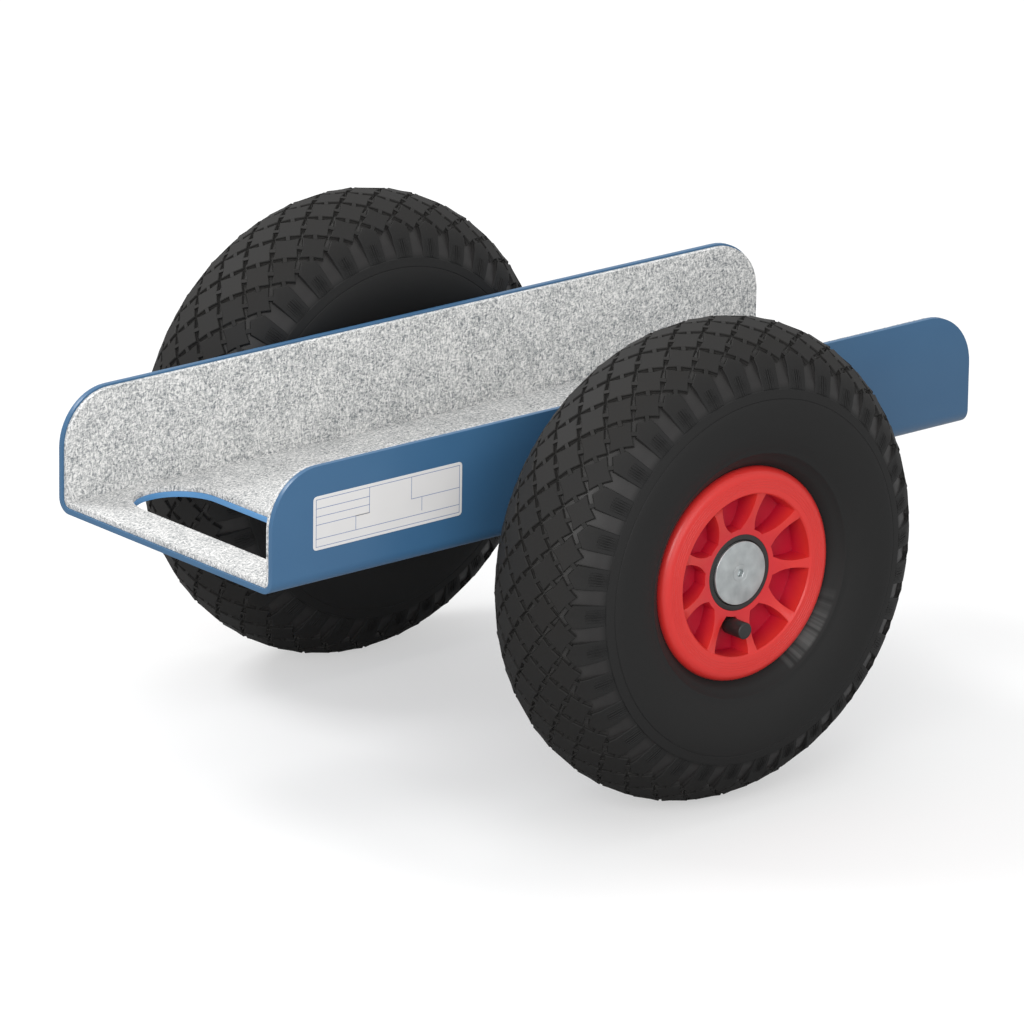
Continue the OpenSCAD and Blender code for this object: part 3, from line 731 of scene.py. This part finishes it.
def with_pips(mesh, seed):
    """Adds the little stubs of rubber that the mould's vents leave on both sidewalls."""
    draw = random.Random(seed)
    work = bmesh.new()
    work.from_mesh(mesh)
    for index in range(PIPS):
        near_rim = index % 3 == 0
        along = math.radians(draw.uniform(119, 121) if near_rim else draw.uniform(86, 112))
        around = 2 * math.pi * (index + draw.uniform(-0.3, 0.3)) / PIPS
        size = draw.uniform(0.35, 0.55)
        lift = draw.uniform(0.25, 0.5)
        for side in (-1, 1):
            foot = tyre_point(around, side * along, -0.3)
            top = tyre_point(around, side * along, 0)
            out = (top - foot).normalized()
            if abs(top.z) + lift > TYRE_WIDTH / 2:
                lift = 0.15
            matrix = Matrix.Translation(foot) @ out.to_track_quat("Z", "Y").to_matrix().to_4x4()
            bmesh.ops.create_cone(
                work, cap_ends=True, segments=8, radius1=size, radius2=size * 0.7,
                depth=2 * lift, matrix=matrix,
            )
    work.to_mesh(mesh)
    work.free()
    return mesh


# Rims
RING_RADII = (47.6, 49.0, 50.4, 51.8)
RING_HALF, RING_RISE, RING_SUNK = 0.3, 0.12, 0.05
RING_STEPS = 144


def with_face_rings(mesh, matrix):
    """Adds the fine raised rings that the mould's turned face leaves on a rim's outer flange."""
    face = RIM_FACE / MM
    work = bmesh.new()
    work.from_mesh(mesh)
    for middle in RING_RADII:
        profile = (
            (middle - RING_HALF, face - RING_SUNK),
            (middle, face + RING_RISE),
            (middle + RING_HALF, face - RING_SUNK),
        )
        rows = []
        for step in range(RING_STEPS):
            angle = 2 * math.pi * step / RING_STEPS
            rows.append([
                work.verts.new(
                    matrix @ (Vector((radius * math.cos(angle), radius * math.sin(angle), height)) * MM)
                )
                for radius, height in profile
            ])
        for step in range(RING_STEPS):
            here, there = rows[step], rows[(step + 1) % RING_STEPS]
            for i in range(3):
                j = (i + 1) % 3
                work.faces.new((here[i], there[i], there[j], here[j]))
    bmesh.ops.recalc_face_normals(work, faces=work.faces)
    work.to_mesh(mesh)
    work.free()
    return mesh


# Felt mats
FELT_EDGE, FELT_FACETS = 0.6, 3
SEAM_REACH = 0.5


def felt_piece(name, node):
    """A CAD felt as a cut mat, with soft edges except where the wall's mat meets the floor's."""
    mesh = joined_copy(node)
    floor_mat_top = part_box("felt_base")[1]
    seam_out = floor_mat_top.y - SEAM_REACH * MM
    seam_top = floor_mat_top.z + SEAM_REACH * MM
    weights = mesh.attributes.new("bevel_weight_edge", "FLOAT", "EDGE")
    for edge in mesh.edges:
        ends = [mesh.vertices[k].co for k in edge.vertices]
        seamed = all(abs(end.y) > seam_out and end.z < seam_top for end in ends)
        weights.data[edge.index].value = 0.0 if seamed else 1.0
    holder = holder_of(mesh)
    rounding = holder.modifiers.new("Rounding", "BEVEL")
    rounding.width = FELT_EDGE * MM
    rounding.segments = FELT_FACETS
    rounding.limit_method = "WEIGHT"
    made = piece(name, settled(holder, name), FELT, "frame", "felt", node, sharp=50)


# Plate on the near wall
PLATE_LEFT, PLATE_RIGHT = -215.0, -116.0
PLATE_FOOT, PLATE_TOP = 162.2, 191.4
PLATE_THICK = 0.25
PLATE_CORNER = 2.2
PLATE_CORNER_STEPS = 6
RULE_WIDTH = 0.32
RULE_RISE, RULE_SUNK = 0.03, 0.05
RULES = [
    # Each ruled line: its ends along the plate and up it, in mm
    (-213.2, 189.6, -117.8, 189.6), (-213.2, 164.0, -117.8, 164.0),
    (-213.2, 164.0, -213.2, 189.6), (-117.8, 164.0, -117.8, 189.6),
    (-213.2, 184.7, -178.0, 184.7), (-213.2, 180.3, -178.0, 180.3),
    (-213.2, 175.9, -178.0, 175.9), (-213.2, 168.3, -117.8, 168.3),
    (-178.0, 175.9, -178.0, 189.6), (-187.0, 168.3, -187.0, 175.9),
    (-150.0, 177.6, -150.0, 189.6), (-150.0, 177.6, -117.8, 177.6),
    (-143.0, 170.2, -143.0, 177.6), (-187.0, 175.9, -178.0, 175.9),
]


def plate_mesh():
    """The film: a thin plate with round corners, laid on the near wall's outer face."""
    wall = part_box("trough")[0].y / MM
    work = bmesh.new()
    corners = [
        (PLATE_RIGHT - PLATE_CORNER, PLATE_TOP - PLATE_CORNER, 0),
        (PLATE_LEFT + PLATE_CORNER, PLATE_TOP - PLATE_CORNER, 90),
        (PLATE_LEFT + PLATE_CORNER, PLATE_FOOT + PLATE_CORNER, 180),
        (PLATE_RIGHT - PLATE_CORNER, PLATE_FOOT + PLATE_CORNER, 270),
    ]
    loops = []
    for depth, inset in ((0, 0), (PLATE_THICK * 0.7, 0), (PLATE_THICK, 0.1)):
        loop = []
        for x, z, start in corners:
            for step in range(PLATE_CORNER_STEPS + 1):
                angle = math.radians(start + step * 90 / PLATE_CORNER_STEPS)
                reach = PLATE_CORNER - inset
                loop.append(work.verts.new((
                    x + reach * math.cos(angle), wall - depth, z + reach * math.sin(angle),
                )))
        loops.append(loop)
    count = len(loops[0])
    for low, high in zip(loops, loops[1:]):
        for i in range(count):
            j = (i + 1) % count
            work.faces.new((low[i], high[i], high[j], low[j]))
    work.faces.new(loops[-1])
    work.faces.new(list(reversed(loops[0])))
    bmesh.ops.recalc_face_normals(work, faces=work.faces)
    mesh = bpy.data.meshes.new("plate")
    work.to_mesh(mesh)
    work.free()
    mesh.transform(Matrix.Scale(MM, 4))
    return mesh


def rules_mesh():
    """The ruled lines: flat strips of ink that stand a hair's breadth off the film."""
    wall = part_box("trough")[0].y / MM - PLATE_THICK
    work = bmesh.new()
    half = RULE_WIDTH / 2
    for x0, z0, x1, z1 in RULES:
        low = Vector((min(x0, x1) - half, wall + RULE_SUNK, min(z0, z1) - half))
        high = Vector((max(x0, x1) + half, wall - RULE_RISE, max(z0, z1) + half))
        size = high - low
        matrix = Matrix.Translation((low + high) / 2) @ Matrix.Diagonal((*size, 1))
        bmesh.ops.create_cube(work, size=1, matrix=matrix)
    bmesh.ops.recalc_face_normals(work, faces=work.faces)
    mesh = bpy.data.meshes.new("plate_rules")
    work.to_mesh(mesh)
    work.free()
    mesh.transform(Matrix.Scale(MM, 4))
    return mesh


# Finishes
COAT = powder_coat()
FELT = needle_felt()
BLACK = black_plastic()
ZINC = zinc_plate()
STEEL = turned_steel()
TUBE = tube_rubber()
BRASS = valve_brass()
RUBBER = {"near": tyre_rubber("near", -WHEEL_PLACE), "far": tyre_rubber("far", WHEEL_PLACE)}
RED = {"near": red_plastic("near", -WHEEL_PLACE), "far": red_plastic("far", WHEEL_PLACE)}

# Trough with its lining
piece("trough_coated", softened("trough", "trough"), COAT, "frame", "blue_powder_coat", "trough")
felt_piece("felt_base_mat", "felt_base")
felt_piece("felt_wall_near_mat", "felt_wall_near")
felt_piece("felt_wall_far_mat", "felt_wall_far")
piece("plate_blank", plate_mesh(), plate_film(), "frame", "blue_powder_coat")
piece("plate_ruling", rules_mesh(), plate_ink(), "frame", "blue_powder_coat")

# Axle and the pieces on its ends
NODES["axle"].data.materials[0] = STEEL
for side in WHEELS:
    for name in ("thrust_washer", "bearing_sleeve", "rollers"):
        NODES[f"{name}_{side}"].data.materials[0] = STEEL
    NODES[f"roller_cage_{side}"].data.materials[0] = BLACK
    NODES[f"inner_tube_{side}"].data.materials[0] = TUBE
    NODES[f"valve_stem_{side}"].data.materials[0] = BRASS

# Wheels
ring = ring_tree()
for side, matrix in WHEELS.items():
    body = f"wheel_{side}"
    tyre = with_pips(ring_of(tyre_pitch(), "tyre", PITCHES, RUBBER[side], ring), PIP_SEEDS[side])
    tyre.transform(matrix @ Matrix.Scale(MM, 4))
    piece(f"tyre_{side}_moulded", tyre, RUBBER[side], body, "tyre_rubber", f"tyre_{side}", sharp=32)
    rim = with_face_rings(softened(f"rim_{side}", "rim"), matrix)
    piece(f"rim_{side}_moulded", rim, RED[side], body, "red_plastic", f"rim_{side}")
    for face in ("outer", "inner"):
        node = f"seal_cap_{face}_{side}"
        piece(f"{node}_moulded", softened(node, "seal_cap"), BLACK, body, "black_plastic", node)
    node = f"valve_cap_{side}"
    piece(f"{node}_moulded", softened(node, "valve_cap"), BLACK, body, "black_plastic", node)
    for kind in ("end_disc", "end_screw"):
        node = f"{kind}_{side}"
        piece(f"{node}_plated", softened(node, kind), ZINC, "frame", "zinc_plate", node)

# Camera, at the place and angle that the picture's outlines give
CAMERA_PLACE = Vector((-3067.687, -3631.628, 1681.327)) * MM
CAMERA_AZIMUTH = math.radians(-40.13569)
CAMERA_ELEVATION = math.radians(18.21663)
CAMERA_ROLL = math.radians(0.811733)
CAMERA_LENS, CAMERA_SENSOR, CAMERA_REACH = 327.856, 36, 50
back = Vector((
    math.sin(CAMERA_AZIMUTH) * math.cos(CAMERA_ELEVATION),
    -math.cos(CAMERA_AZIMUTH) * math.cos(CAMERA_ELEVATION),
    math.sin(CAMERA_ELEVATION),
))
level = Vector((0, 0, 1)).cross(back).normalized()
upright = back.cross(level)
right = level * math.cos(CAMERA_ROLL) + upright * math.sin(CAMERA_ROLL)
up = upright * math.cos(CAMERA_ROLL) - level * math.sin(CAMERA_ROLL)
camera = bpy.data.objects.new("Camera", bpy.data.cameras.new("Camera"))
camera.data.sensor_fit = "HORIZONTAL"
camera.data.sensor_width = CAMERA_SENSOR
camera.data.lens = CAMERA_LENS
camera.data.clip_end = CAMERA_REACH
camera.matrix_world = Matrix.Translation(CAMERA_PLACE) @ Matrix((right, up, back)).transposed().to_4x4()
bpy.context.scene.collection.objects.link(camera)
bpy.context.scene.camera = camera


# Studio
LAMPS = {
    # Each soft box's place and width in metres, and its power in watts
    "Back": ((-0.9, 1.5, 2.1), 1.0, 34),
    "Top": ((0.7, 0.3, 2.6), 2.0, 16),
    "Left": ((-1.4, -1.1, 0.9), 0.9, 14),
    "Front": ((-0.6, -3.4, 0.9), 2.4, 26),
}
LAMP_AIM = Vector((0, 0, 0.12))
FLOOR_HALF = 6
FLOOR_GLOW = 0.5
WORLD_LIGHT = 0.7


def lamp(name, place, width, power):
    """A square soft box that looks at the dolly."""
    data = bpy.data.lights.new(name, "AREA")
    data.shape = "SQUARE"
    data.size = width
    data.energy = power
    made = bpy.data.objects.new(name, data)
    made.location = place
    made.rotation_euler = (LAMP_AIM - Vector(place)).to_track_quat("-Z", "Y").to_euler()
    bpy.context.scene.collection.objects.link(made)


def floor_paper():
    """White paper roll: matt, and lit from below to the camera alone, so that it joins the white ground."""
    material, tree, place = surface("floor_paper")
    cloud = add(tree, "ShaderNodeTexNoise", {"Vector": place, "Scale": 1 / (300 * MM), "Detail": 1})
    tint = add(tree, "ShaderNodeMix", {
        0: cloud.outputs["Fac"], 6: linear("#f3f3f3"), 7: linear("#f7f7f7"),
    }, data_type="RGBA")
    paper = add(tree, "ShaderNodeBsdfDiffuse", {"Color": tint.outputs[2]})
    seen = add(tree, "ShaderNodeLightPath")
    glow = add(tree, "ShaderNodeEmission", {
        "Color": [1, 1, 1, 1], "Strength": seen.outputs["Is Camera Ray"],
    })
    dim = add(tree, "ShaderNodeMixShader", {0: FLOOR_GLOW, 1: paper.outputs[0], 2: glow.outputs[0]})
    add(tree, "ShaderNodeOutputMaterial", {"Surface": dim.outputs[0]})
    return material


def studio_floor():
    """The paper that the dolly stands on."""
    work = bmesh.new()
    bmesh.ops.create_grid(work, x_segments=2, y_segments=2, size=FLOOR_HALF)
    mesh = bpy.data.meshes.new("floor")
    work.to_mesh(mesh)
    work.free()
    mesh.materials.append(floor_paper())
    holder_of(mesh)


def studio_world():
    """Even light from all round, with a full white ground to the camera."""
    world = bpy.data.worlds.new("Studio")
    world.use_nodes = True
    tree = world.node_tree
    tree.nodes.clear()
    seen = add(tree, "ShaderNodeLightPath")
    shown = add(tree, "ShaderNodeMath", {
        0: seen.outputs["Is Camera Ray"], 1: seen.outputs["Is Transmission Ray"],
    }, operation="MAXIMUM")
    strength = add(tree, "ShaderNodeMapRange", {
        "Value": shown.outputs[0], "To Min": WORLD_LIGHT, "To Max": 1.0,
    })
    sky = add(tree, "ShaderNodeBackground", {
        "Color": [1, 1, 1, 1], "Strength": strength.outputs["Result"],
    })
    add(tree, "ShaderNodeOutputWorld", {"Surface": sky.outputs[0]})
    bpy.context.scene.world = world


for name, (place, width, power) in LAMPS.items():
    lamp(name, place, width, power)
studio_floor()
studio_world()
bpy.context.scene.view_settings.view_transform = "Standard"
